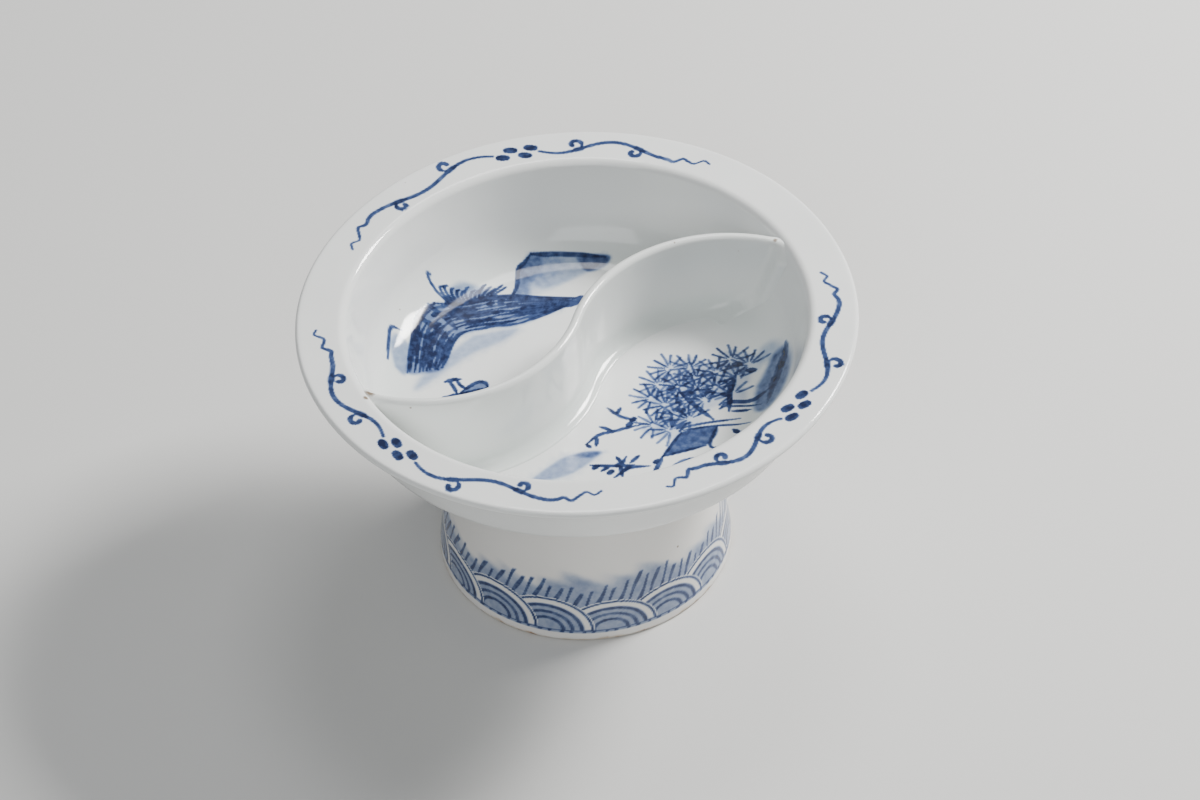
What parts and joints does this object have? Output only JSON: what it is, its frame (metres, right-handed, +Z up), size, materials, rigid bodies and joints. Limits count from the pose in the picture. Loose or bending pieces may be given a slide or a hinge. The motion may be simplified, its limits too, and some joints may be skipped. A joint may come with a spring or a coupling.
{
  "type": "condiment dish",
  "caption": "Footed porcelain condiment dish: a round flat-rimmed bowl parted in two by an S-shaped wall, on a tall ring foot, with blue painted decoration.",
  "frame": {"origin": "middle of the circle that the foot stands on", "axes": "+Z up through the middle of the dish; +X along the chord of the S-shaped wall"},
  "size_m": [0.126, 0.126, 0.0707],
  "materials": {
    "foot_glaze": "clear glaze over blue wave painting, bare unglazed resting edge",
    "slip": "fired slip under clear glaze",
    "bowl_glaze": "bluish clear glaze over blue painting",
    "wall_glaze": "bluish clear glaze"
  },
  "bodies": {
    "root": {"foot_ring": "foot_glaze", "foot_slip": "slip", "bowl": "bowl_glaze", "wall_slip": "slip", "s_wall": "wall_glaze"}
  },
  "joints": []
}
